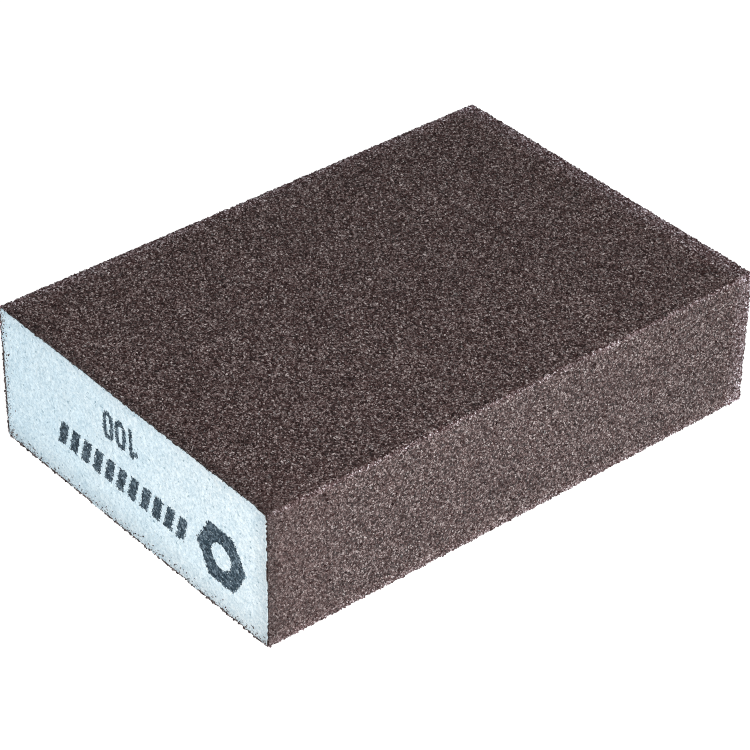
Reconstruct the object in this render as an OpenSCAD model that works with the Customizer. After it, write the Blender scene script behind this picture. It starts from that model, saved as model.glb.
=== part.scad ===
// Foam sanding block.  A block of closed-cell foam carries abrasive on its four
// long faces and is bare at its two cut ends.  One end has a small ink print.
// Units are millimetres.  The origin is the middle of the underside, +Y runs
// along the block and +Z is up.  The print is on the -Y end.

/* [Block] */
// Length of the block, between its cut ends
block_length = 100; // [60:1:150]
// Width over the abrasive coats
block_width = 68.8; // [64:0.1:90]
// Height over the abrasive coats
block_height = 25.6; // [22:0.1:40]

/* [Long edges] */
// Outer radius of the edge between the top and the right side
radius_top_right = 0.5; // [0.4:0.1:4]
// Outer radius of the edge between the top and the left side
radius_top_left = 0.4; // [0.4:0.1:4]
// Outer radius of the edge between the underside and the left side
radius_bottom_left = 1; // [0.4:0.1:4]
// Outer radius of the edge between the underside and the right side
radius_bottom_right = 0.5; // [0.4:0.1:4]

/* [Abrasive coat] */
// Thickness of the make coat, the resin film that bonds the grit to the foam
make_thickness = 0.15; // [0.1:0.05:0.3]
// Thickness of the grit coat, from the make coat to the tips of the grains
grit_thickness = 0.35; // [0.2:0.05:0.5]

/* [End print] */
// Depth to which the ink soaks into the foam
ink_depth = 0.3; // [0.2:0.1:1]
// Distance of the emblem's centre from the middle of the end face
emblem_offset = 23; // [22:0.5:24]
// Radius of the hexagonal emblem over its corners
emblem_radius = 6; // [4:0.25:7]
// Radius of the round hole in the emblem
emblem_hole_radius = 2.4; // [1:0.1:3]
// Height of the slanted bars
bar_height = 4.5; // [3:0.1:6]
// Width of one slanted bar
bar_width = 1.9; // [1:0.1:2.4]
// Number of slanted bars
bar_count = 11; // [5:1:11]
// Height of the digits of the grade number
digit_height = 5.2; // [3:0.1:6]
// Width of a digit
digit_width = 2.6; // [2.2:0.1:3]
// Width of a digit's stroke
digit_stroke = 0.8; // [0.5:0.1:1]

/* [Hidden] */
$fn = 64;
coat_thickness = make_thickness + grit_thickness;
// Radius that is left where a layer lies deeper than the outer edge is round
sharpest_radius = 0.1;
bar_pitch = 3.1;
bar_slant = 1.3;
bar_row = [2.4, 2.9];
emblem_height = 2.3;
digit_pitch = 3.2;
digit_row = [2.15, -5.85];
// The digit one: how far its stem stands to the right of the digit's middle, how far its
// flag reaches to the left of it, and how far the flag's tip hangs below the digit's top
stem_offset = 0.55;
flag_reach = 1.1;
flag_drop = 1.4;
// Amount by which a cutting shape runs past the solid that it cuts
overcut = 1;

// ---- The block's cross-section, in X and Z ----

// What lies outside a rounded corner whose sharp tip is at the origin, upper right
module corner_waste(radius) {
    difference() {
        translate([-radius, -radius])
            square(radius + overcut);
        translate([-radius, -radius])
            circle(radius);
    }
}

// Radius of an edge at a depth of inset below the block's outer surface
function radius_at(inset, outer_radius) = max(outer_radius - inset, sharpest_radius);

// Outline of the block at a depth of inset below its outer surface
module outline(inset) {
    half_width = block_width / 2 - inset;
    top = block_height - inset;
    difference() {
        translate([-half_width, inset])
            square([2 * half_width, top - inset]);
        translate([half_width, top])
            corner_waste(radius_at(inset, radius_top_right));
        translate([-half_width, top])
            mirror([1, 0])
                corner_waste(radius_at(inset, radius_top_left));
        translate([-half_width, inset])
            rotate(180)
                corner_waste(radius_at(inset, radius_bottom_left));
        translate([half_width, inset])
            mirror([0, 1])
                corner_waste(radius_at(inset, radius_bottom_right));
    }
}

// The layer between two depths, all the way round the block
module layer(outer_inset, inner_inset) {
    difference() {
        outline(outer_inset);
        outline(inner_inset);
    }
}

// The part of the section that belongs to the top, bounded by the 45 degree mitres
module top_sector() {
    half_width = block_width / 2;
    half_height = block_height / 2;
    polygon([
        [-half_width - overcut, block_height + overcut],
        [half_width + overcut, block_height + overcut],
        [half_width - half_height, half_height],
        [half_height - half_width, half_height]
    ]);
}

// The part of the section that belongs to the right side
module right_sector() {
    half_width = block_width / 2;
    half_height = block_height / 2;
    polygon([
        [half_width + overcut, block_height + overcut],
        [half_width + overcut, -overcut],
        [half_width - half_height, half_height]
    ]);
}

module bottom_sector() {
    translate([0, block_height])
        mirror([0, 1])
            top_sector();
}

module left_sector() {
    mirror([1, 0])
        right_sector();
}

// A section in X and Z, drawn out over the length of the block
module along_block() {
    rotate([90, 0, 0])
        linear_extrude(block_length, center = true)
            children();
}

// ---- Coats: children() is the sector that the coat covers ----

module make_coat() {
    color("saddlebrown")
        along_block()
            intersection() {
                layer(grit_thickness, coat_thickness);
                children();
            }
}

module grit_coat() {
    color("dimgray")
        along_block()
            intersection() {
                layer(0, grit_thickness);
                children();
            }
}

module make_coat_top() { make_coat() top_sector(); }
module make_coat_bottom() { make_coat() bottom_sector(); }
module make_coat_left() { make_coat() left_sector(); }
module make_coat_right() { make_coat() right_sector(); }

module grit_coat_top() { grit_coat() top_sector(); }
module grit_coat_bottom() { grit_coat() bottom_sector(); }
module grit_coat_left() { grit_coat() left_sector(); }
module grit_coat_right() { grit_coat() right_sector(); }

// ---- End print, drawn upright about the middle of the end face ----

module emblem_shape() {
    translate([-emblem_offset, emblem_height])
        difference() {
            circle(emblem_radius, $fn = 6);
            circle(emblem_hole_radius);
        }
}

// One bar that leans to the right, centred on the origin
module slanted_bar() {
    half_width = bar_width / 2;
    half_height = bar_height / 2;
    half_slant = bar_slant / 2;
    polygon([
        [-half_width - half_slant, -half_height],
        [half_width - half_slant, -half_height],
        [half_width + half_slant, half_height],
        [-half_width + half_slant, half_height]
    ]);
}

module bars_shape() {
    translate(bar_row)
        for (i = [0 : bar_count - 1])
            translate([(i - (bar_count - 1) / 2) * bar_pitch, 0])
                slanted_bar();
}

// A shape with straight sides and round ends, centred on the origin
module stadium(width, height) {
    radius = width / 2;
    straight = height - width;
    union() {
        translate([-radius, -straight / 2])
            square([width, straight]);
        translate([0, straight / 2])
            circle(radius);
        translate([0, -straight / 2])
            circle(radius);
    }
}

module digit_zero() {
    difference() {
        stadium(digit_width, digit_height);
        stadium(digit_width - 2 * digit_stroke, digit_height - 2 * digit_stroke);
    }
}

module digit_one() {
    half_stroke = digit_stroke / 2;
    half_height = digit_height / 2;
    stem_left = stem_offset - half_stroke;
    stem_right = stem_offset + half_stroke;
    polygon([
        [stem_right, half_height],
        [stem_right, -half_height],
        [stem_left, -half_height],
        [stem_left, half_height - flag_drop + half_stroke],
        [-flag_reach, half_height - flag_drop - half_stroke],
        [-flag_reach, half_height - flag_drop + half_stroke],
        [stem_left, half_height]
    ]);
}

// The grit size: one hundred
module grade_shape() {
    translate(digit_row) {
        translate([-digit_pitch, 0])
            digit_one();
        digit_zero();
        translate([digit_pitch, 0])
            digit_zero();
    }
}

// Ink in the -Y end, from its soaking depth to the given distance in front of the foam.
// The print reads upright with the block turned over, so it stands on its head here.
module in_end_face(proud) {
    translate([0, ink_depth - block_length / 2, 0])
        rotate([90, 0, 0])
            linear_extrude(ink_depth + proud)
                translate([0, block_height / 2])
                    rotate(180)
                        children();
}

module print_emblem() {
    color("darkslategray")
        in_end_face(0)
            emblem_shape();
}

module print_bars() {
    color("darkslategray")
        in_end_face(0)
            bars_shape();
}

module print_grade() {
    color("darkslategray")
        in_end_face(0)
            grade_shape();
}

// ---- Foam ----

module foam_core() {
    color("aliceblue")
        difference() {
            along_block()
                outline(coat_thickness);
            in_end_face(overcut) {
                emblem_shape();
                bars_shape();
                grade_shape();
            }
        }
}

foam_core();
make_coat_top();
make_coat_bottom();
make_coat_left();
make_coat_right();
grit_coat_top();
grit_coat_bottom();
grit_coat_left();
grit_coat_right();
print_emblem();
print_bars();
print_grade();
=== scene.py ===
"""The looks of a foam sanding block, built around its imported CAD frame.

The block lies on its underside.  +Y runs along it, +X across it, and its printed
end faces -Y.  Everything is in metres.  Each abrasive coat is a bed of angular
facets with separate grains on it and along its edges, the foam is a closed mesh
whose cut ends show their pores, and the ink follows those pores.
"""

import math

import bmesh
import bpy
import numpy as np
from mathutils import Matrix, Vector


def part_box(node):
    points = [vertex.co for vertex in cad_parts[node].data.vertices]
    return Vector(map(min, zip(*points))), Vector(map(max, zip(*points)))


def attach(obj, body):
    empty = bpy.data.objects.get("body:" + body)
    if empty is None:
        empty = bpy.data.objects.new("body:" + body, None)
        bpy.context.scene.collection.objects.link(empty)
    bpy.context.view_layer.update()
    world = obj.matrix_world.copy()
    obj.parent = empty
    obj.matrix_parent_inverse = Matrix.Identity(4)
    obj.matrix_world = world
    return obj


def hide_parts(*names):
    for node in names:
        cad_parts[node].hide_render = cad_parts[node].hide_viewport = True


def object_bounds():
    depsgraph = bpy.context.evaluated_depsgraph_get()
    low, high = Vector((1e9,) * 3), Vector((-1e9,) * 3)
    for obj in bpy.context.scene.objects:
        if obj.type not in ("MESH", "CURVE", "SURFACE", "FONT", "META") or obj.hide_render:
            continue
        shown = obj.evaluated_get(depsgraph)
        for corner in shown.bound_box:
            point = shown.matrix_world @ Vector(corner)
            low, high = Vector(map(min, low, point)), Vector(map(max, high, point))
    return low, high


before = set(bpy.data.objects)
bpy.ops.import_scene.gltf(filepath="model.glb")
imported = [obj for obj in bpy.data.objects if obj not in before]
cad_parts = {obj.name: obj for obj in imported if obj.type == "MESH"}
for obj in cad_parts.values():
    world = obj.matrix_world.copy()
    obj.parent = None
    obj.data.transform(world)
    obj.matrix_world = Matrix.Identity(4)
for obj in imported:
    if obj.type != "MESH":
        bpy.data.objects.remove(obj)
cad_low, cad_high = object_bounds()

MM = 0.001
random = np.random.default_rng(100)

# ---------------------------------------------------------------- camera

CAMERA_PLACE = (0.30617, -0.26086, 0.29833)
CAMERA_AZIMUTH = 49.64
CAMERA_ELEVATION = 35.76
CAMERA_ROLL = 0.80
CAMERA_LENS = 145.3


def make_camera():
    data = bpy.data.cameras.new("camera")
    data.lens = CAMERA_LENS
    data.sensor_width = 36
    data.clip_start = 0.01
    data.clip_end = 50
    camera = bpy.data.objects.new("camera", data)
    bpy.context.scene.collection.objects.link(camera)
    pan = Matrix.Rotation(math.radians(CAMERA_AZIMUTH), 4, "Z")
    tilt = Matrix.Rotation(math.radians(90 - CAMERA_ELEVATION), 4, "X")
    roll = Matrix.Rotation(math.radians(CAMERA_ROLL), 4, "Z")
    camera.matrix_world = Matrix.Translation(CAMERA_PLACE) @ pan @ tilt @ roll
    bpy.context.scene.camera = camera


make_camera()

# ---------------------------------------------------------------- sizes, from the frame

foam_low, foam_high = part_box("foam_core")
HALF_WIDTH = cad_high.x
HEIGHT = cad_high.z
FRONT = cad_low.y
BACK = cad_high.y
GRIT = cad_high.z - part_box("make_coat_top")[1].z
COAT = cad_high.z - foam_high.z


def flat_span(node, level):
    """Lowest and highest x of the flat face that a coat has at that height."""
    points = np.array([v.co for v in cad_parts[node].data.vertices])
    across = points[np.abs(points[:, 2] - level) < 0.001 * MM, 0]
    return across.min(), across.max()


def edge_rounds():
    """Centre x, centre z and radius of the round on each of the four long edges."""
    top_left, top_right = flat_span("grit_coat_top", HEIGHT)
    bottom_left, bottom_right = flat_span("grit_coat_bottom", 0)
    return {
        "top_left": (top_left, HEIGHT - HALF_WIDTH - top_left, HALF_WIDTH + top_left),
        "top_right": (top_right, HEIGHT - HALF_WIDTH + top_right, HALF_WIDTH - top_right),
        "bottom_left": (bottom_left, HALF_WIDTH + bottom_left, HALF_WIDTH + bottom_left),
        "bottom_right": (bottom_right, HALF_WIDTH - bottom_right, HALF_WIDTH - bottom_right),
    }


ROUNDS = edge_rounds()

# For each side: the edge where it starts, the edge where it ends, and the angle of
# its outward normal in X and Z.  They run clockwise, seen from the printed end.
SIDES = {
    "top": ("top_left", "top_right", 90),
    "right": ("top_right", "bottom_right", 0),
    "bottom": ("bottom_right", "bottom_left", -90),
    "left": ("bottom_left", "top_left", 180),
}


def side_lengths(side):
    """Length of a side's first half round, of its flat and of its last half round."""
    start, end, facing = SIDES[side]
    on = (math.sin(math.radians(facing)), -math.cos(math.radians(facing)))
    flat = (ROUNDS[end][0] - ROUNDS[start][0]) * on[0] + (ROUNDS[end][1] - ROUNDS[start][1]) * on[1]
    return ROUNDS[start][2] * math.pi / 4, flat, ROUNDS[end][2] * math.pi / 4


def side_path(side, s):
    """Places x, z and normals x, z of a side's outer surface, at distances s from its first mitre."""
    start, end, facing = SIDES[side]
    first, flat, last = side_lengths(side)
    facing = math.radians(facing)
    before = np.clip((first - s) / first, 0, 1)
    after = np.clip((s - first - flat) / last, 0, 1)
    angle = facing + (before - after) * math.pi / 4
    normal = np.stack([np.cos(angle), np.sin(angle)])
    way = np.clip(s - first, 0, flat)
    on = np.array([math.sin(facing), -math.cos(facing)]).reshape([2] + [1] * np.ndim(s))
    hub0 = np.array(ROUNDS[start][:2]).reshape([2] + [1] * np.ndim(s))
    hub1 = np.array(ROUNDS[end][:2]).reshape([2] + [1] * np.ndim(s))
    place = np.where(after > 0, hub1 + ROUNDS[end][2] * normal, hub0 + ROUNDS[start][2] * normal + way * on)
    return place, normal


# ---------------------------------------------------------------- seeded noise

TABLE = 256


def new_table(depth=1):
    """A square table of random numbers from 0 to 1, which the noises below look up."""
    return random.random((TABLE, TABLE, depth))


def lattice_noise(table, a, b, spacing):
    """Smooth noise from 0 to 1 at the points (a, b), from random values that far apart."""
    a, b = a / spacing, b / spacing
    i, j = np.floor(a).astype(int), np.floor(b).astype(int)
    s, t = a - i, b - j
    s, t = s * s * (3 - 2 * s), t * t * (3 - 2 * t)

    def value(di, dj):
        return table[(i + di) % TABLE, (j + dj) % TABLE, 0]

    near = value(0, 0) * (1 - s) + value(1, 0) * s
    far = value(0, 1) * (1 - s) + value(1, 1) * s
    return near * (1 - t) + far * t


def pores(table, a, b, spacing, smallest, largest):
    """Depth from 0 to 1 of round pits, one near each lattice point, at the points (a, b)."""
    i, j = np.floor(a / spacing).astype(int), np.floor(b / spacing).astype(int)
    deepest = np.zeros(np.shape(a))
    for di in (-1, 0, 1):
        for dj in (-1, 0, 1):
            cell = table[(i + di) % TABLE, (j + dj) % TABLE]
            away_a = a - (i + di + cell[..., 0]) * spacing
            away_b = b - (j + dj + cell[..., 1]) * spacing
            radius = smallest + (largest - smallest) * cell[..., 2] ** 2
            bowl = 1 - (away_a**2 + away_b**2) / radius**2
            deepest = np.maximum(deepest, bowl * radius / largest)
    return deepest


# ---------------------------------------------------------------- mesh helpers

BAKE_MAP = "OFBake"


def add_piece(name, points, faces, corner_uv, material, smooth=False):
    """A mesh piece that rides on the block, with one map place for each corner of each face."""
    mesh = bpy.data.meshes.new(name)
    mesh.from_pydata(points, [], faces)
    layer = mesh.uv_layers.new(name=BAKE_MAP)
    layer.uv.foreach_set("vector", np.asarray(corner_uv, np.float32).ravel())
    mesh.polygons.foreach_set("use_smooth", np.full(len(faces), smooth))
    mesh.materials.append(material)
    mesh.update()
    piece = bpy.data.objects.new(name, mesh)
    bpy.context.scene.collection.objects.link(piece)
    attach(piece, "root")
    return piece


def grid_faces(rows, columns):
    """Triangles over a grid of (rows + 1) by (columns + 1) points, cut along random diagonals.

    They face the way that the grid's first axis, crossed with its second one, points.
    """
    index = np.arange((rows + 1) * (columns + 1)).reshape(rows + 1, columns + 1)
    a, b = index[:-1, :-1].ravel(), index[1:, :-1].ravel()
    c, d = index[1:, 1:].ravel(), index[:-1, 1:].ravel()
    swap = (random.random(len(a)) < 0.5)[:, None]
    first = np.where(swap, np.stack([a, b, d], 1), np.stack([a, b, c], 1))
    second = np.where(swap, np.stack([b, c, d], 1), np.stack([a, c, d], 1))
    return np.concatenate([first, second])


def grid_uv(rows, columns):
    """Map places from 0 to 1 for a grid of points, in the points' own order."""
    u, v = np.meshgrid(np.linspace(0, 1, rows + 1), np.linspace(0, 1, columns + 1), indexing="ij")
    return np.stack([u, v], 2).reshape(-1, 2)


def grid_rim(rows, columns):
    """Numbers of the points of a grid, once round its rim."""
    index = np.arange((rows + 1) * (columns + 1)).reshape(rows + 1, columns + 1)
    return np.concatenate([index[:-1, 0], index[-1, :-1], index[:0:-1, -1], index[0, :0:-1]])


def bridge(fine, coarse):
    """Triangles between two closed rings of points.

    The fine ring has a whole number of points for each point of the coarse one.
    """
    step = len(fine) // len(coarse)
    faces = []
    for k in range(len(coarse)):
        here, after = coarse[k], coarse[(k + 1) % len(coarse)]
        run = [fine[(k * step + m) % len(fine)] for m in range(step + 1)]
        middle = step // 2
        faces += [(run[m + 1], run[m], here) for m in range(middle)]
        faces.append((run[middle], here, after))
        faces += [(run[m + 1], run[m], after) for m in range(middle, step)]
    return np.array(faces)


def ring_strip(first, second, v_first, v_second):
    """Triangles between two closed rings with equally many points, and their map places."""
    u = np.arange(len(first) + 1) / len(first)
    a, b = first, np.roll(first, -1)
    c, d = second, np.roll(second, -1)
    faces = np.concatenate([np.stack([a, c, b], 1), np.stack([b, c, d], 1)])
    left, right = u[:-1], u[1:]
    low, high = np.full(len(first), v_first), np.full(len(first), v_second)
    place_a, place_b = np.stack([left, low], 1), np.stack([right, low], 1)
    place_c, place_d = np.stack([left, high], 1), np.stack([right, high], 1)
    first_uv = np.stack([place_a, place_c, place_b], 1)
    second_uv = np.stack([place_b, place_c, place_d], 1)
    return faces, np.concatenate([first_uv, second_uv])


# ---------------------------------------------------------------- node materials


class Nodes:
    """A short way to write a material's node tree."""

    def __init__(self, name):
        self.material = bpy.data.materials.new(name)
        self.material.use_nodes = True
        self.tree = self.material.node_tree
        self.shader = self.tree.nodes["Principled BSDF"]
        self.place = self.add("ShaderNodeTexCoord").outputs["Object"]

    def add(self, kind, inputs=None, **settings):
        node = self.tree.nodes.new(kind)
        for key, value in settings.items():
            setattr(node, key, value)
        for key, value in (inputs or {}).items():
            if isinstance(value, bpy.types.NodeSocket):
                self.tree.links.new(value, node.inputs[key])
            else:
                node.inputs[key].default_value = value
        return node

    def cells(self, size):
        """Random numbers, as red, green and blue, one set for each cell about that wide."""
        inputs = {"Vector": self.place, "Scale": 1 / size}
        voronoi = self.add("ShaderNodeTexVoronoi", inputs)
        return self.add("ShaderNodeSeparateColor", {"Color": voronoi.outputs["Color"]}).outputs

    def math(self, operation, first, second=0.0):
        node = self.add("ShaderNodeMath", operation=operation)
        for socket, value in zip(node.inputs, (first, second)):
            if isinstance(value, bpy.types.NodeSocket):
                self.tree.links.new(value, socket)
            else:
                socket.default_value = value
        return node.outputs["Value"]

    def axis(self, name):
        """The place along X, Y or Z."""
        return self.add("ShaderNodeSeparateXYZ", {"Vector": self.place}).outputs[name]

    def rise(self, value, start, end):
        """Rises from 0 to 1 as the value goes from start to end."""
        inputs = {"Value": value, "From Min": start, "From Max": end}
        return self.add("ShaderNodeMapRange", inputs).outputs["Result"]

    def noise(self, size, detail=2.0):
        inputs = {"Vector": self.place, "Scale": 1 / size, "Detail": detail}
        return self.add("ShaderNodeTexNoise", inputs).outputs["Fac"]

    def ramp(self, value, *stops):
        """Colours or greys at rising places from 0 to 1, looked up by value."""
        node = self.add("ShaderNodeValToRGB", {"Fac": value})
        elements = node.color_ramp.elements
        for place, _ in stops[2:]:
            elements.new(place)
        for element, (place, colour) in zip(elements, sorted(stops)):
            element.position = place
            grey = isinstance(colour, (int, float))
            element.color = (colour, colour, colour, 1) if grey else (*colour, 1)
        return node.outputs["Color"]

    def mix(self, share, first, second, blend="MIX"):
        node = self.add("ShaderNodeMix", data_type="RGBA", blend_type=blend, clamp_result=True)
        for socket, value in ((0, share), (6, first), (7, second)):
            if isinstance(value, bpy.types.NodeSocket):
                self.tree.links.new(value, node.inputs[socket])
            else:
                node.inputs[socket].default_value = value if socket == 0 else (*value, 1)
        return node.outputs[2]

    def bump(self, height, distance, strength):
        inputs = {"Height": height, "Distance": distance, "Strength": strength}
        return self.add("ShaderNodeBump", inputs).outputs["Normal"]

    def finish(self, **inputs):
        """Sets or links the shader's own sockets, with spaces for underscores in their names."""
        for key, value in inputs.items():
            socket = self.shader.inputs[key.replace("_", " ")]
            if isinstance(value, bpy.types.NodeSocket):
                self.tree.links.new(value, socket)
            else:
                socket.default_value = value
        return self.material


# Widths of the bands along the grit's edges: painted light along both left edges, the lower
# right edge and the back end, a painted highlight along the upper right edge, and a darker band along the
# front end.
# The band on the upper right edge is TOP_RIGHT_STEEPNESS times as high as it is wide.
PAINTED_LIGHT_LEFT = 4 * MM
PAINTED_LIGHT_LOW_RIGHT = 3 * MM
PAINTED_HIGHLIGHT_TOP_RIGHT = 1.1 * MM
PAINTED_LIGHT_BACK = 5 * MM
DARK_FRONT = 2.2 * MM
TOP_RIGHT_STEEPNESS = 3

# Towards the front right edge the grains' tones draw together to EVEN_TONE: over what
# distance, and by up to what share
EVEN_REACH = 18 * MM
EVEN_SHARE = 0.32
EVEN_TONE = (0.60, 0.60, 0.60)


def edge_bands_with_painted_light(nodes, x, y, z):
    """Factors for the grit's colour: one for each band of painted light or painted highlight, and one for
    the darker front band.
    """
    from_middle = nodes.math("ABSOLUTE", nodes.math("SUBTRACT", z, HEIGHT / 2))
    left_edge = HALF_WIDTH + HEIGHT / 2
    to_left = nodes.rise(nodes.math("SUBTRACT", from_middle, x), left_edge - PAINTED_LIGHT_LEFT, left_edge)
    to_low_right = nodes.rise(nodes.math("SUBTRACT", x, z), HALF_WIDTH - PAINTED_LIGHT_LOW_RIGHT, HALF_WIDTH)
    steep = nodes.math("ADD", nodes.math("MULTIPLY", x, TOP_RIGHT_STEEPNESS), z)
    top_right_edge = TOP_RIGHT_STEEPNESS * HALF_WIDTH + HEIGHT
    to_top_right = nodes.rise(steep, top_right_edge - PAINTED_HIGHLIGHT_TOP_RIGHT, top_right_edge)
    to_back = nodes.rise(y, BACK - PAINTED_LIGHT_BACK, BACK)
    from_front = nodes.rise(y, FRONT, FRONT + DARK_FRONT)
    # In order: painted light on both left edges, painted light on the lower right edge, a painted highlight
    # on the upper right edge, painted light at the back end, and the darker front band
    return (
        nodes.ramp(to_left, (0.0, 1.0), (0.5, (1.16, 1.20, 1.24)), (0.9, (1.58, 1.70, 1.85))),
        nodes.ramp(
            to_low_right,
            (0.0, 1.0),
            (0.4, 1.2),
            (0.7, (1.55, 1.62, 1.70)),
            (0.95, (1.98, 2.10, 2.24)),
        ),
        nodes.ramp(
            to_top_right,
            (0.0, 1.0),
            (0.35, 1.12),
            (0.6, (1.58, 1.66, 1.76)),
            (1.0, (1.85, 2.00, 2.16)),
        ),
        nodes.ramp(
            to_back,
            (0.0, 1.0),
            (0.2, 1.15),
            (0.5, (1.30, 1.36, 1.44)),
            (1.0, (1.92, 2.10, 2.32)),
        ),
        nodes.ramp(from_front, (0.0, 0.65), (0.15, 0.74), (0.6, 0.78), (1.0, 1.0)),
    )


def grit_material():
    """Brown abrasive grains: dark gaps, mid brown grains and a few pale ones, partly a lighter tone of
    their own and partly painted glints.
    """
    nodes = Nodes("grit")
    grain = nodes.cells(0.25 * MM)
    fine = nodes.cells(0.15 * MM)
    x, y, z = nodes.axis("X"), nodes.axis("Y"), nodes.axis("Z")
    tone = nodes.mix(0.4, grain["Red"], fine["Red"])
    front_right = HALF_WIDTH - FRONT
    to_front_right = nodes.rise(nodes.math("SUBTRACT", x, y), front_right - EVEN_REACH, front_right)
    tone = nodes.mix(nodes.math("MULTIPLY", to_front_right, EVEN_SHARE), tone, EVEN_TONE)
    # The palest stops are grains of a lighter tone of their own, made brighter still as painted glints
    colour = nodes.ramp(
        tone,
        (0.15, (0.0060, 0.0014, 0.0010)),
        (0.35, (0.0225, 0.0080, 0.0070)),
        (0.50, (0.052, 0.0270, 0.0252)),
        (0.65, (0.115, 0.075, 0.0715)),
        (0.80, (0.24, 0.189, 0.184)),
        (0.92, (0.45, 0.400, 0.394)),
    )
    patch = nodes.ramp(nodes.noise(5 * MM), (0.3, 0.92), (0.7, 1.14))
    colour = nodes.mix(1.0, colour, patch, "MULTIPLY")
    # Painted light and a painted highlight along the edges, and a darker band along the front end
    for band in edge_bands_with_painted_light(nodes, x, y, z):
        colour = nodes.mix(1.0, colour, band, "MULTIPLY")
    roughness = nodes.ramp(grain["Green"], (0.0, 0.18), (0.4, 0.4), (1.0, 0.75))
    normal = nodes.bump(nodes.noise(0.12 * MM), 0.05 * MM, 0.7)
    return nodes.finish(Base_Color=colour, Roughness=roughness, Normal=normal, Specular_IOR_Level=0.36)


def resin_material():
    """Dark brown resin film."""
    nodes = Nodes("resin")
    colour = nodes.ramp(nodes.noise(0.3 * MM), (0.3, (0.025, 0.016, 0.014)), (0.7, (0.09, 0.062, 0.055)))
    roughness = nodes.ramp(nodes.noise(0.5 * MM), (0.3, 0.35), (0.7, 0.6))
    normal = nodes.bump(nodes.noise(0.15 * MM), 0.03 * MM, 0.4)
    return nodes.finish(Base_Color=colour, Roughness=roughness, Normal=normal)


def foam_material():
    """Pale blue closed-cell foam, mottled cell by cell, with painted shade near the rims of its ends."""
    nodes = Nodes("foam")
    x, z = nodes.axis("X"), nodes.axis("Z")
    # Bluer and a little darker towards the left, whiter towards the right, mixed half and half with a slow
    # noise
    drift = nodes.mix(0.5, nodes.rise(x, -HALF_WIDTH, HALF_WIDTH), nodes.noise(6 * MM, 3.0))
    colour = nodes.ramp(drift, (0.25, (0.640, 0.798, 0.890)), (0.75, (0.702, 0.810, 0.865)))
    cell = nodes.cells(0.34 * MM)
    fine = nodes.cells(0.19 * MM)
    tone = nodes.mix(0.45, cell["Red"], fine["Red"])
    mottle = nodes.ramp(tone, (0.1, (0.74, 0.79, 0.82)), (0.5, (1.0, 1.0, 1.0)), (0.9, (1.15, 1.09, 1.05)))
    colour = nodes.mix(1.0, colour, mottle, "MULTIPLY")
    swell = nodes.ramp(nodes.noise(0.75 * MM, 2.0), (0.32, (0.87, 0.90, 0.91)), (0.68, (1.08, 1.07, 1.06)))
    colour = nodes.mix(1.0, colour, swell, "MULTIPLY")
    speck = nodes.ramp(
        cell["Blue"],
        (0.0, (1.0, 1.0, 1.0)),
        (0.985, (1.0, 1.0, 1.0)),
        (0.992, (0.50, 0.58, 0.62)),
    )
    colour = nodes.mix(1.0, colour, speck, "MULTIPLY")
    # For each side of an end, painted shade along the rim: the axis, where the shade is darkest,
    # where it ends, and the factor where it is darkest
    for place, start, end, least in (
        (x, HALF_WIDTH - 0.5 * MM, HALF_WIDTH - 4 * MM, 0.80),
        (x, -HALF_WIDTH + 0.5 * MM, -HALF_WIDTH + 1.3 * MM, 0.88),
        (z, 0.5 * MM, 5 * MM, 0.77),
        (z, HEIGHT - 0.5 * MM, HEIGHT - 2.5 * MM, 0.90),
    ):
        painted_rim_shade = nodes.ramp(nodes.rise(place, start, end), (0.0, least), (1.0, 1.0))
        colour = nodes.mix(1.0, colour, painted_rim_shade, "MULTIPLY")
    roughness = nodes.ramp(nodes.noise(0.4 * MM), (0.3, 0.75), (0.7, 0.95))
    normal = nodes.bump(nodes.noise(0.25 * MM), 0.05 * MM, 0.5)
    return nodes.finish(Base_Color=colour, Roughness=roughness, Normal=normal)


def ink_material():
    """Dark slate ink, thinner and paler where it has run off the cell walls."""
    nodes = Nodes("ink")
    cell = nodes.cells(0.32 * MM)
    tone = nodes.mix(0.5, cell["Red"], nodes.noise(0.6 * MM))
    colour = nodes.ramp(
        tone,
        (0.25, (0.008, 0.020, 0.032)),
        (0.50, (0.033, 0.060, 0.082)),
        (0.70, (0.120, 0.168, 0.208)),
        (0.88, (0.33, 0.42, 0.48)),
    )
    roughness = nodes.ramp(nodes.noise(0.3 * MM), (0.3, 0.55), (0.7, 0.85))
    return nodes.finish(Base_Color=colour, Roughness=roughness, Specular_IOR_Level=0.1)


GRIT_MATERIAL = grit_material()
RESIN_MATERIAL = resin_material()
FOAM_MATERIAL = foam_material()
INK_MATERIAL = ink_material()

# ---------------------------------------------------------------- abrasive coats

# Width of a facet, and how many facets go to one step of a coat's plain inner face
FACET = 0.277 * MM
COARSE = 8
# Mean depth of the gaps between grains, how far the tips stand in front of the frame's
# surface, and the share of the coat's thickness that the deepest gap may reach
GRAIN_RELIEF = 0.14 * MM
PROUD = 0.19 * MM
DEEPEST = 0.93
# Depth, spacing and radii of the round pits where grains are missing
PIT_DEPTH = 0.10 * MM
PIT_SPACING = 0.9 * MM
PIT_SMALLEST = 0.15 * MM
PIT_LARGEST = 0.5 * MM
# How far a point strays over the surface, in facets: at random places and on a mitre
STRAY = 0.33
MITRE_STRAY = 0.3
# How far the cut ends are chipped back, and how far the back one stands out
END_CHIP = 0.22 * MM
END_PROUD = 0.12 * MM


def whole_steps(length):
    """How many facets fit in that length, as a multiple of the coarse step."""
    return COARSE * round(length / FACET / COARSE)


LENGTH_STEPS = whole_steps(BACK - FRONT)
pit_table = new_table(3)


def grain_depth(s, y, shift, proud):
    """Depth of a coat's surface below the frame's, less the proud amount, at random at each point."""
    grains = random.gamma(2.0, 1 / 2.0, np.shape(s))
    pits = pores(pit_table, s + shift, y, PIT_SPACING, PIT_SMALLEST, PIT_LARGEST)
    depth = GRAIN_RELIEF * grains + PIT_DEPTH * pits - proud
    return np.minimum(depth, DEEPEST * GRIT)


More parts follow.
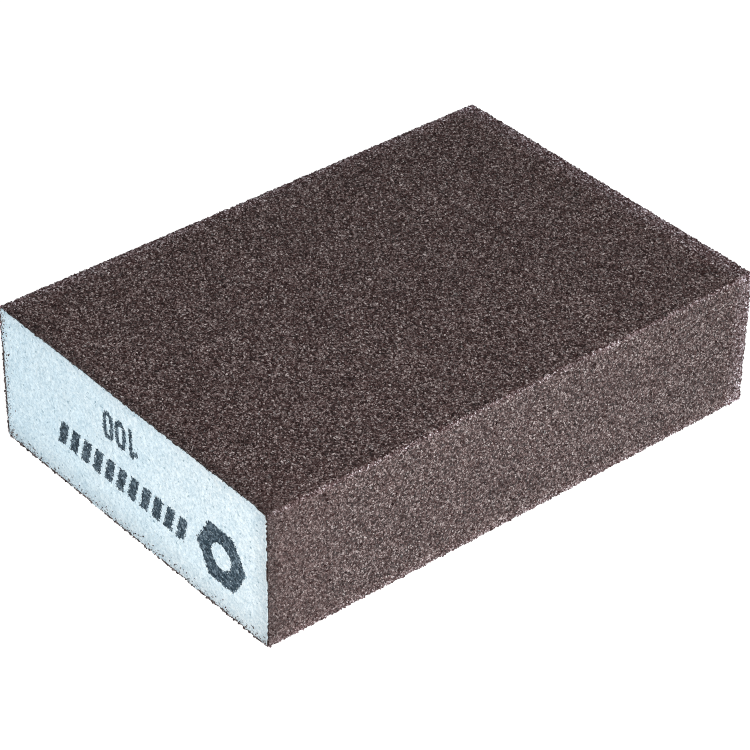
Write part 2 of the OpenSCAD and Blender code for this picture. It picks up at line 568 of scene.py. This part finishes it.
def under_side(side, s, y, depth):
    """Points at distances s across a side and places y along it, at a depth under its surface."""
    place, normal = side_path(side, s)
    return np.stack([place[0] - normal[0] * depth, y, place[1] - normal[1] * depth], -1)


# The coats share these points: depths and strays along each mitre, and chips at its ends
along = np.linspace(FRONT, BACK, LENGTH_STEPS + 1)
MITRES = {
    edge: {
        "depth": grain_depth(along * 0, along, 0, PROUD if edge.startswith("top") else 0),
        "stray": random.uniform(-MITRE_STRAY, MITRE_STRAY, LENGTH_STEPS + 1) * FACET,
    }
    for edge in ROUNDS
}
END_CHIPS = {edge: END_CHIP * random.random(2) ** 3 for edge in ROUNDS}


def rough_surface(side, s, y, shift):
    """The grid of a coat's outer points.  The underside's tips aren't proud, as it lies on them."""
    start, end, _ = SIDES[side]
    depth = grain_depth(s, y, shift, 0 if side == "bottom" else PROUD)
    depth[0], depth[-1] = MITRES[start]["depth"], MITRES[end]["depth"]
    stray_s = random.uniform(-STRAY, STRAY, s.shape) * FACET
    stray_y = random.uniform(-STRAY, STRAY, s.shape) * FACET
    stray_s[0], stray_s[-1] = 0, 0
    stray_y[0], stray_y[-1] = MITRES[start]["stray"], MITRES[end]["stray"]
    for column, inward, at_back in ((0, 1, 0), (-1, -1, 1)):
        chips = END_CHIP * random.random(len(s)) ** 3
        chips[0], chips[-1] = END_CHIPS[start][at_back], END_CHIPS[end][at_back]
        stray_y[:, column] = inward * (chips - END_PROUD * at_back)
    return under_side(side, s + stray_s, y + stray_y, depth)


def make_coat(side, shift):
    """One grit coat: a closed shell, finely faceted outside and plain against the resin."""
    total = sum(side_lengths(side))
    rows, columns = whole_steps(total), LENGTH_STEPS
    s, y = np.meshgrid(np.linspace(0, total, rows + 1), along, indexing="ij")
    outer = rough_surface(side, s, y, shift)

    coarse_rows, coarse_columns = rows // COARSE, columns // COARSE
    s, y = np.meshgrid(
        np.linspace(0, total, coarse_rows + 1),
        np.linspace(FRONT + END_CHIP, BACK - END_CHIP, coarse_columns + 1),
        indexing="ij",
    )
    inner = under_side(side, s, y, GRIT)
    points = np.concatenate([outer.reshape(-1, 3), inner.reshape(-1, 3)])

    first_inner = outer.shape[0] * outer.shape[1]
    outer_faces = grid_faces(rows, columns)
    inner_faces = grid_faces(coarse_rows, coarse_columns)[:, ::-1] + first_inner
    inner_rim = grid_rim(coarse_rows, coarse_columns) + first_inner
    wall_faces = bridge(grid_rim(rows, columns), inner_rim)

    # The outer face fills most of the map, the walls frame it, and the hidden inner face
    # has a thin strip along the map's edge
    outer_uv = 0.03 + grid_uv(rows, columns) * (0.94, 0.90)
    rim_uv = 0.005 + grid_uv(coarse_rows, coarse_columns) * (0.99, 0.945)
    hidden_uv = (0.1, 0.965) + grid_uv(coarse_rows, coarse_columns) * (0.8, 0.03)
    uv = np.concatenate([outer_uv, rim_uv])
    corner_uv = np.concatenate([uv[outer_faces], uv[wall_faces], hidden_uv[inner_faces - first_inner]])
    faces = np.concatenate([outer_faces, wall_faces, inner_faces])
    piece = add_piece("grit_" + side, points, faces, corner_uv, GRIT_MATERIAL)
    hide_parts("grit_coat_" + side)
    return piece


# How much further on in the table of pits each side starts than the side before it
PIT_SHIFT = 40 * MM

for number, name in enumerate(SIDES):
    make_coat(name, number * PIT_SHIFT)
    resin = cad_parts["make_coat_" + name]
    resin.data.materials.clear()
    resin.data.materials.append(RESIN_MATERIAL)

# ---------------------------------------------------------------- foam block

# Spacing of the points over the foam's ends
FOAM_CELL = 0.2 * MM
FACE_COLUMNS = round((foam_high.x - foam_low.x) / FOAM_CELL)
FACE_ROWS = round((foam_high.z - foam_low.z) / FOAM_CELL)
# The open pores, and the gentle swell of the whole surface
FOAM_PORE_DEPTH = 0.10 * MM
FOAM_PORE_SPACING = 0.5 * MM
FOAM_PORE_SMALLEST = 0.08 * MM
FOAM_PORE_LARGEST = 0.32 * MM
FOAM_SWELL_DEPTH = 0.03 * MM
FOAM_SWELL_SIZE = 0.35 * MM
# Over that distance from the rim the pores fade out, and the rim itself stands proud
RIM_FADE = 0.8 * MM
RIM_PROUD = 0.02 * MM
foam_pore_table = new_table(3)
foam_swell_table = new_table()

# The lip of smeared foam at each cut end: its mean share of the coat on each side, how
# much that share swings and its limits
LIP_SHARE = {"top": 0.58, "right": 0.46, "bottom": 0.16, "left": 0.04}
LIP_SWING = {"top": 0.6, "right": 0.8, "bottom": 2.4, "left": 2.4}
LIP_LEAST = 0.04
LIP_MOST = 0.97
# Wavelengths of the swing, and the parts that they play in it
LIP_SLOW_SIZE, LIP_SLOW_PART = 1.6 * MM, 0.4
LIP_QUICK_SIZE, LIP_QUICK_PART = 0.45 * MM, 0.75
# The lip's middle, as a share of its reach, how far it stands in front of the lip's edge,
# the ripple of both, and how far behind the cut the lip is rooted in the foam's rim
LIP_MIDDLE = 0.55
LIP_PROUD = 0.03 * MM
LIP_RIPPLE = 0.04 * MM
LIP_RIPPLE_SIZE = 0.3 * MM
LIP_ROOT = 0.35 * MM
# The lip fades out towards the top right corner, along the top over LIP_CORNER and along
# the right side over LIP_CORNER / LIP_CORNER_STEEPNESS
LIP_CORNER = 3.0 * MM
LIP_CORNER_STEEPNESS = 3
lip_table = new_table()


def foam_sink(x, z):
    """How far the cut foam lies behind the frame's end face at x, z, or before it if negative."""
    pits = pores(foam_pore_table, x, z, FOAM_PORE_SPACING, FOAM_PORE_SMALLEST, FOAM_PORE_LARGEST)
    swell = lattice_noise(foam_swell_table, x, z, FOAM_SWELL_SIZE)
    from_side = np.minimum(foam_high.x - np.abs(x), np.minimum(z - foam_low.z, foam_high.z - z))
    fade = np.clip(from_side / RIM_FADE, 0, 1)
    return (FOAM_PORE_DEPTH * pits + FOAM_SWELL_DEPTH * swell) * fade - RIM_PROUD * (1 - fade)


def round_corners(x, z):
    """Moves a grid over the foam's rectangle so that its corners follow the foam's rounds."""
    x, z = x.copy(), z.copy()
    for edge, (hub_x, hub_z, radius) in ROUNDS.items():
        way_x = np.maximum((x - hub_x) * (1 if edge.endswith("right") else -1), 0)
        way_z = np.maximum((z - hub_z) * (1 if edge.startswith("top") else -1), 0)
        square = np.maximum(way_x, way_z)
        inside = (way_x > 0) & (way_z > 0)
        reach = np.where(inside, np.hypot(way_x, way_z), 1)
        share = np.where(inside, square / reach, 1)
        x = np.where(inside, hub_x + (x - hub_x) * share, x)
        z = np.where(inside, hub_z + (z - hub_z) * share, z)
    return x, z


def rim_outward(x, z):
    """Unit vectors that point out of a closed ring of points in x and z."""
    way_x = np.roll(x, -1) - np.roll(x, 1)
    way_z = np.roll(z, -1) - np.roll(z, 1)
    length = np.hypot(way_x, way_z)
    out = np.stack([way_z / length, -way_x / length], 1)
    inward = (out[:, 0] * (x - x.mean()) + out[:, 1] * (z - z.mean())).mean() < 0
    return -out if inward else out


def by_side(out, values):
    """Blends one value for each side of the block by the direction that a rim point faces."""
    across, up = out.T
    return (
        values["right"] * np.maximum(across, 0) ** 2
        + values["left"] * np.minimum(across, 0) ** 2
        + values["top"] * np.maximum(up, 0) ** 2
        + values["bottom"] * np.minimum(up, 0) ** 2
    )


def lip_reach(x, z, out):
    """How far the cut foam is smeared out over the coats, at each point of its rim."""
    steps = np.hypot(np.roll(x, -1) - x, np.roll(z, -1) - z)
    arc = np.cumsum(steps) - steps
    slow = lattice_noise(lip_table, arc, arc * 0, LIP_SLOW_SIZE) - 0.5
    quick = lattice_noise(lip_table, arc, arc * 0 + 9 * MM, LIP_QUICK_SIZE) - 0.5
    swing = LIP_SLOW_PART * slow + LIP_QUICK_PART * quick
    share = by_side(out, LIP_SHARE) + by_side(out, LIP_SWING) * swing
    from_corner = np.maximum(foam_high.x - x, LIP_CORNER_STEEPNESS * (foam_high.z - z))
    share = share * np.clip(from_corner / LIP_CORNER, 0, 1)
    return COAT * np.clip(share, LIP_LEAST, LIP_MOST)


def lip_rings(x, z, end, inward):
    """Three rings past the foam's rim: half way out, the lip's edge, and back under the coats."""
    out = rim_outward(x, z)
    reach = lip_reach(x, z, out)
    ripple = lattice_noise(lip_table, reach * 40, z + x, LIP_RIPPLE_SIZE) * LIP_RIPPLE
    rings = []
    for share, back in ((LIP_MIDDLE, ripple - LIP_PROUD), (1.0, ripple), (0.0, LIP_ROOT + 0 * ripple)):
        place_x, place_z = x + out[:, 0] * reach * share, z + out[:, 1] * reach * share
        rings.append(np.stack([place_x, end + inward * back, place_z], 1))
    return rings


def make_foam():
    """The foam core: one closed mesh with two pored ends, lips over the coats and plain sides."""
    x, z = np.meshgrid(
        np.linspace(foam_low.x, foam_high.x, FACE_COLUMNS + 1),
        np.linspace(foam_low.z, foam_high.z, FACE_ROWS + 1),
        indexing="ij",
    )
    x, z = round_corners(x, z)
    front = np.stack([x, FRONT + foam_sink(x, z), z], 2).reshape(-1, 3)
    back = np.stack([x, BACK - foam_sink(-x, z), z], 2).reshape(-1, 3)
    count = len(front)
    rim = grid_rim(FACE_COLUMNS, FACE_ROWS)
    rim_x, rim_z = front[rim, 0], front[rim, 2]
    front_rings = lip_rings(rim_x, rim_z, FRONT, 1)
    back_rings = lip_rings(rim_x, rim_z, BACK, -1)
    points = np.concatenate([front, back, *front_rings, *back_rings])

    # The front face has the lower half of the map, the back face the upper half, and the
    # rings between them run across its middle
    face_uv = grid_uv(FACE_COLUMNS, FACE_ROWS)
    front_faces = grid_faces(FACE_COLUMNS, FACE_ROWS)
    back_faces = grid_faces(FACE_COLUMNS, FACE_ROWS)[:, ::-1]
    front_uv = (0.01 + face_uv * (0.98, 0.43))[front_faces]
    back_uv = ((0.01, 0.56) + face_uv * (0.98, 0.43))[back_faces]
    rings = [rim] + [2 * count + len(rim) * k + np.arange(len(rim)) for k in range(6)] + [rim + count]
    order = [rings[k] for k in (0, 1, 2, 3, 6, 5, 4, 7)]
    levels = [0.45, 0.465, 0.48, 0.49, 0.51, 0.52, 0.535, 0.55]
    strips = [ring_strip(*order[k : k + 2], *levels[k : k + 2]) for k in range(7)]
    faces = np.concatenate([front_faces, back_faces + count] + [strip[0] for strip in strips])
    corner_uv = np.concatenate([front_uv, back_uv] + [strip[1] for strip in strips])
    piece = add_piece("foam_block", points, faces, corner_uv, FOAM_MATERIAL, smooth=True)
    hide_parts("foam_core")
    return piece


make_foam()

# ---------------------------------------------------------------- separate grains

# Points on a grain's hull, the number of shapes, and the limits of a shape's stretch
GRAIN_CORNERS = 10
GRAIN_SHAPES = 16
GRAIN_STRETCH = (0.65, 1.15)

# Grains on the faces and along the long edges: how many, how far from the edge, their
# radii in millimetres, and how deep they lie, as a share of the radius
GRAINS_PER_AREA = 0.22 / MM**2
GRAINS_PER_EDGE = 2.4 / MM
EDGE_SPREAD = 0.25 * MM
FACE_RADII = (0.08, 0.17)
EDGE_RADII = (0.10, 0.27)
FACE_SINK = {"top": 0.1, "right": 0.1, "bottom": 1.0, "left": 0.1}

# Grains on the coats' cut ends and crumbs on the foam beside them: how many for each
# millimetre, and how deep under the side, in millimetres and as the mean of a spread
RIM_GRAINS = {"top": 1.2, "right": 1.2, "bottom": 3.5, "left": 3.5}
RIM_CRUMBS = {"top": 0.4, "right": 0.7, "bottom": 11.0, "left": 10.0}
RIM_DEPTHS = (0.05, 0.4)
CRUMB_SPREAD = 0.42 * MM
# Their radii in millimetres, where a crumb's largest is half a grain's, the power that
# favours small ones, and how deep they lie in the end, as a share of the radius
RIM_SMALLEST = 0.07
RIM_LARGEST = {"top": 0.18, "right": 0.20, "bottom": 0.40, "left": 0.42}
CRUMB_SMALLEST = 0.035
SMALL_BIAS = 1.5
END_SINK = 0.3


def grain_shape():
    """Corners and triangles of one angular grain, about 1 in radius."""
    shape = bmesh.new()
    corners = random.normal(size=(GRAIN_CORNERS, 3))
    for corner in corners / np.linalg.norm(corners, axis=1)[:, None]:
        shape.verts.new(corner)
    bmesh.ops.convex_hull(shape, input=shape.verts)
    bmesh.ops.recalc_face_normals(shape, faces=shape.faces)
    shape.verts.index_update()
    points = np.array([vert.co for vert in shape.verts])
    faces = np.array([[vert.index for vert in face.verts] for face in shape.faces])
    shape.free()
    return points * random.uniform(*GRAIN_STRETCH, 3), faces


def random_turns(count):
    """That many random rotation matrices."""
    w, x, y, z = random.normal(size=(count, 4)).T
    size = np.sqrt(w * w + x * x + y * y + z * z)
    w, x, y, z = w / size, x / size, y / size, z / size
    return np.stack(
        [
            np.stack([1 - 2 * (y * y + z * z), 2 * (x * y - z * w), 2 * (x * z + y * w)], 1),
            np.stack([2 * (x * y + z * w), 1 - 2 * (x * x + z * z), 2 * (y * z - x * w)], 1),
            np.stack([2 * (x * z - y * w), 2 * (y * z + x * w), 1 - 2 * (x * x + y * y)], 1),
        ],
        1,
    )


def face_grains(side):
    """Centres and radii of grains scattered over one coat and along its two long edges."""
    total = sum(side_lengths(side))
    length = BACK - FRONT
    on_face = round(total * length * GRAINS_PER_AREA)
    on_edge = round(length * GRAINS_PER_EDGE)
    edge_s = np.abs(random.normal(0, EDGE_SPREAD, 2 * on_edge))
    edge_s[on_edge:] = total - edge_s[on_edge:]
    s = np.concatenate([random.uniform(0, total, on_face), edge_s])
    y = random.uniform(FRONT, BACK, len(s))
    face_radius = random.uniform(*FACE_RADII, on_face)
    edge_radius = random.uniform(*EDGE_RADII, 2 * on_edge)
    radius = np.concatenate([face_radius, edge_radius]) * MM
    return under_side(side, s, y, radius * FACE_SINK[side]), radius


def biased_radii(smallest, largest, count):
    """That many random radii, small ones more often than large ones."""
    return smallest + (largest - smallest) * random.random(count) ** SMALL_BIAS


def end_grains(side, end, inward):
    """Centres and radii of grains on a coat's cut end and of crumbs on the foam beside it."""
    total = sum(side_lengths(side))
    on_rim, on_foam = round(total / MM * RIM_GRAINS[side]), round(total / MM * RIM_CRUMBS[side])
    s = random.uniform(0, total, on_rim + on_foam)
    rim_depth = random.uniform(*RIM_DEPTHS, on_rim) * MM
    foam_depth = COAT + random.exponential(CRUMB_SPREAD, on_foam)
    depth = np.concatenate([rim_depth, foam_depth])
    rim_radius = biased_radii(RIM_SMALLEST, RIM_LARGEST[side], on_rim)
    foam_radius = biased_radii(CRUMB_SMALLEST, RIM_LARGEST[side] / 2, on_foam)
    radius = np.concatenate([rim_radius, foam_radius]) * MM
    return under_side(side, s, end + inward * END_SINK * radius, depth), radius


def make_grains():
    """All the separate grains, as one piece of small closed shells."""
    groups = [face_grains(side) for side in SIDES]
    groups += [end_grains(side, FRONT, 1) for side in SIDES]
    groups += [end_grains(side, BACK, -1) for side in SIDES]
    centres = np.concatenate([group[0] for group in groups])
    radii = np.concatenate([group[1] for group in groups])
    shapes = [grain_shape() for _ in range(GRAIN_SHAPES)]
    corners = np.stack([shape[0] for shape in shapes])
    triangles = np.stack([shape[1] for shape in shapes])
    count = len(centres)
    chosen = random.integers(0, GRAIN_SHAPES, count)
    turned = np.einsum("nij,nkj->nki", random_turns(count), corners[chosen])
    points = (centres[:, None] + turned * radii[:, None, None]).reshape(-1, 3)
    faces = (triangles[chosen] + GRAIN_CORNERS * np.arange(count)[:, None, None]).reshape(-1, 3)

    across = math.ceil(math.sqrt(len(faces)))
    tile = np.stack(np.divmod(np.arange(len(faces)), across), 1)[:, None]
    corner_uv = (tile + np.array([[0.15, 0.15], [0.85, 0.15], [0.15, 0.85]])) / across
    return add_piece("loose_grains", points, faces, corner_uv, GRIT_MATERIAL)


make_grains()

# ---------------------------------------------------------------- ink print

# Spacing of the points in a film of ink, its height over the foam and its depth in it
INK_CELL = 0.12 * MM
INK_RISE = 0.024 * MM
INK_DEPTH = 0.06 * MM
# The ragged edge: a slow waver, with its size and its swing, and a random fuzz
INK_WAVER_SIZE = 0.3 * MM
INK_WAVER = 0.5 * MM
INK_FUZZ = 0.11 * MM
# The gaps: sizes of the two noises, their parts, and the level below which ink is missing
INK_GAP_SIZES = (0.21 * MM, 0.6 * MM)
INK_GAP_PARTS = (0.6, 0.4)
INK_GAP_LEVEL = 0.11
ink_edge_tables = new_table(), new_table()
ink_gap_table = new_table()


def print_shape(node):
    """The node's front triangles, as corners in x and z."""
    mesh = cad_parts[node].data
    points = np.array([v.co for v in mesh.vertices])
    mesh.calc_loop_triangles()
    corners = np.array([t.vertices for t in mesh.loop_triangles])
    front = (np.abs(points[corners][:, :, 1] - FRONT) < 0.01 * MM).all(1)
    return points[corners[front]][:, :, [0, 2]]


def covered(triangles, x, z):
    """Whether each point x, z lies in one of the triangles."""
    found = np.zeros(x.shape, bool)
    for a, b, c in triangles:
        sides = [
            (q[0] - p[0]) * (z - p[1]) - (q[1] - p[1]) * (x - p[0]) for p, q in ((a, b), (b, c), (c, a))
        ]
        found |= (np.minimum.reduce(sides) >= 0) | (np.maximum.reduce(sides) <= 0)
    return found


def without_corner_touches(kept):
    """Fills cells so that no two kept ones meet only at a corner."""
    for _ in range(4):
        a, b = kept[:-1, :-1], kept[1:, 1:]
        c, d = kept[1:, :-1], kept[:-1, 1:]
        falling = a & b & ~c & ~d
        rising = c & d & ~a & ~b
        kept[1:, :-1] |= falling
        kept[:-1, :-1] |= rising
    return kept


def inked_cells(node, x, z):
    """Which cells of a grid, with their middles at x, z, have ink: a ragged shape with gaps."""
    waver_x, waver_z = (
        (lattice_noise(table, x, z, INK_WAVER_SIZE) - 0.5) * INK_WAVER for table in ink_edge_tables
    )
    fuzz_x, fuzz_z = random.normal(0, INK_FUZZ, x.shape), random.normal(0, INK_FUZZ, x.shape)
    kept = covered(print_shape(node), x + waver_x + fuzz_x, z + waver_z + fuzz_z)
    quick, slow = (lattice_noise(ink_gap_table, x, z, size) for size in INK_GAP_SIZES)
    kept &= INK_GAP_PARTS[0] * quick + INK_GAP_PARTS[1] * slow > INK_GAP_LEVEL
    kept[[0, -1]], kept[:, [0, -1]] = False, False
    return without_corner_touches(kept)


def film_faces(kept, count):
    """Faces of a closed film over the kept cells of a grid with that many points.

    A point on the film's back has the number of the one in front of it, plus count.
    """
    index = np.arange(count).reshape(kept.shape[0] + 1, kept.shape[1] + 1)
    cells = np.stack([index[:-1, :-1], index[1:, :-1], index[1:, 1:], index[:-1, 1:]], 2)
    front = cells[kept]
    back = front[:, ::-1] + count
    walls = []
    for axis, way, first, second in ((0, 1, 1, 2), (0, -1, 3, 0), (1, 1, 2, 3), (1, -1, 0, 1)):
        edge = kept & ~np.roll(kept, -way, axis)
        a, b = cells[edge][:, first], cells[edge][:, second]
        walls.append(np.stack([b, a, a + count, b + count], 1))
    return np.concatenate([front, back, *walls])


def make_ink(name, node):
    """One print group: a thin closed film over the foam's pores, ragged and with gaps."""
    low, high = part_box(node)
    margin = 3 * INK_CELL
    across = np.arange(low.x - margin, high.x + margin, INK_CELL)
    up = np.arange(low.z - margin, high.z + margin, INK_CELL)
    x, z = np.meshgrid((across[:-1] + across[1:]) / 2, (up[:-1] + up[1:]) / 2, indexing="ij")
    kept = inked_cells(node, x, z)

    x, z = np.meshgrid(across, up, indexing="ij")
    sink = foam_sink(x, z)
    front = np.stack([x, FRONT + sink - INK_RISE, z], 2).reshape(-1, 3)
    back = np.stack([x, FRONT + sink + INK_DEPTH, z], 2).reshape(-1, 3)
    points = np.concatenate([front, back])
    used, faces = np.unique(film_faces(kept, x.size), return_inverse=True)
    faces = faces.reshape(-1, 4)

    # The front has the left half of the map, the back has the right half, and the walls
    # lie edge-on along the front's outline
    span = max(high.x - low.x, high.z - low.z) + 2 * margin
    corner = (low.x - margin, low.z - margin)
    flat_uv = ((points[used][:, [0, 2]] - corner) / span) * (0.49, 0.98) + 0.005
    corner_uv = flat_uv[faces]
    count = kept.sum()
    corner_uv[count : 2 * count] += (0.5, 0)
    piece = add_piece(name, points[used], faces, corner_uv, INK_MATERIAL)
    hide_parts(node)
    return piece


make_ink("ink_emblem", "print_emblem")
make_ink("ink_bars", "print_bars")
make_ink("ink_grade", "print_grade")

# ---------------------------------------------------------------- floor and light


FLOOR_REACH = 4
WORLD_STRENGTH = 0.42


def floor_material():
    """A plain pale grey that gives off light of its own, so that it comes out white."""
    nodes = Nodes("floor")
    colour = nodes.ramp(nodes.noise(200 * MM), (0.3, 0.38), (0.7, 0.42))
    return nodes.finish(
        Base_Color=colour,
        Roughness=0.9,
        Emission_Color=(1, 1, 1, 1),
        Emission_Strength=0.92,
    )


def make_floor():
    mesh = bpy.data.meshes.new("floor")
    corners = [(-1, -1), (1, -1), (1, 1), (-1, 1)]
    mesh.from_pydata([(FLOOR_REACH * x, FLOOR_REACH * y, 0) for x, y in corners], [], [(0, 1, 2, 3)])
    mesh.materials.append(floor_material())
    floor = bpy.data.objects.new("floor", mesh)
    bpy.context.scene.collection.objects.link(floor)


def make_world():
    """A white room, bright at the level of the block and dimmer overhead."""
    world = bpy.data.worlds.new("world")
    bpy.context.scene.world = world
    world.use_nodes = True
    tree = world.node_tree
    place = tree.nodes.new("ShaderNodeTexCoord").outputs["Generated"]
    split = tree.nodes.new("ShaderNodeSeparateXYZ")
    tree.links.new(place, split.inputs["Vector"])
    ramp = tree.nodes.new("ShaderNodeValToRGB")
    ramp.color_ramp.elements[0].position = 0.05
    ramp.color_ramp.elements[0].color = (1, 1, 1, 1)
    ramp.color_ramp.elements[1].position = 0.8
    ramp.color_ramp.elements[1].color = (0.3, 0.3, 0.3, 1)
    tree.links.new(split.outputs["Z"], ramp.inputs["Fac"])
    tree.links.new(ramp.outputs["Color"], tree.nodes["Background"].inputs["Color"])
    tree.nodes["Background"].inputs["Strength"].default_value = WORLD_STRENGTH


def make_light(name, azimuth, elevation, distance, size, power):
    """A square soft light that faces the block."""
    data = bpy.data.lights.new(name, "AREA")
    data.size = size
    data.energy = power
    light = bpy.data.objects.new(name, data)
    bpy.context.scene.collection.objects.link(light)
    pan = Matrix.Rotation(math.radians(azimuth), 4, "Z")
    tilt = Matrix.Rotation(math.radians(90 - elevation), 4, "X")
    light.matrix_world = pan @ tilt @ Matrix.Translation((0, 0, distance))


make_floor()
make_world()
make_light("key", azimuth=60, elevation=40, distance=0.43, size=0.117, power=1.62)
bpy.context.scene.view_settings.view_transform = "Standard"

# The grains are a pixel or two wide, so the picture keeps its finest detail
bpy.context.scene.cycles.filter_width = 1.0
bpy.context.scene.cycles.denoising_prefilter = "NONE"
